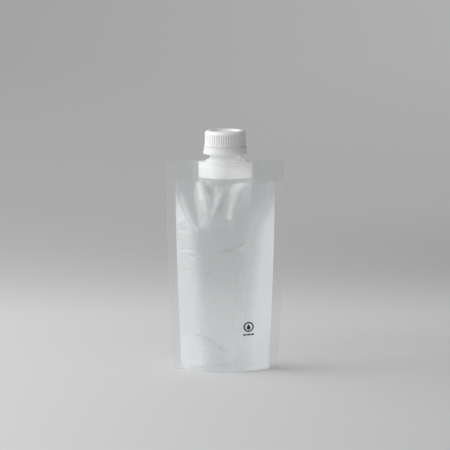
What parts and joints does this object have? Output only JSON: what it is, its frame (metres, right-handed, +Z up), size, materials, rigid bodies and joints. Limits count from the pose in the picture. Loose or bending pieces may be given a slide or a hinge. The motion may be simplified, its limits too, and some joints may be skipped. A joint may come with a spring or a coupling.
{
  "type": "spout pouch",
  "caption": "Clear stand-up refill pouch with a welded spout and a ribbed screw cap, empty and standing open on its gusset.",
  "frame": {"origin": "on the floor, under the middle of the pouch's base", "axes": "+Z up along the spout, front of the pouch faces -Y, +X to the right seen from the front"},
  "size_m": [0.0816, 0.0364, 0.1682],
  "materials": {
    "clear_film": "clear, slightly milky laminate film, glossy, with soft creases",
    "white_moulding": "satin white moulded polyolefin, a little translucent",
    "white_foam": "soft white foamed liner",
    "black_print": "thin black ink printed on the film"
  },
  "bodies": {
    "pouch": {"front_film": "clear_film", "back_film": "clear_film", "bottom_gusset": "clear_film", "spout": "white_moulding"},
    "wad": {"sealing_wad": "white_foam"},
    "cap": {"screw_cap": "white_moulding"},
    "band": {"tamper_band": "white_moulding"}
  },
  "joints": [
    {"name": "cap_lift", "type": "slide", "parent": "pouch", "child": "wad", "axis": [0, 0, 1], "range_m": [0, 0.015]},
    {"name": "cap_turn", "type": "hinge", "parent": "wad", "child": "cap", "pos_m": [0, 0, 0.1626], "axis": [0, 0, 1], "range_deg": [0, 900]},
    {"name": "tamper_band_turn", "type": "hinge", "parent": "pouch", "child": "band", "pos_m": [0, 0, 0.1545], "axis": [0, 0, 1], "continuous": true}
  ],
  "couplings": [
    {"joint": "cap_lift", "follows": "cap_turn", "m_per_rad": 0.00095493}
  ]
}
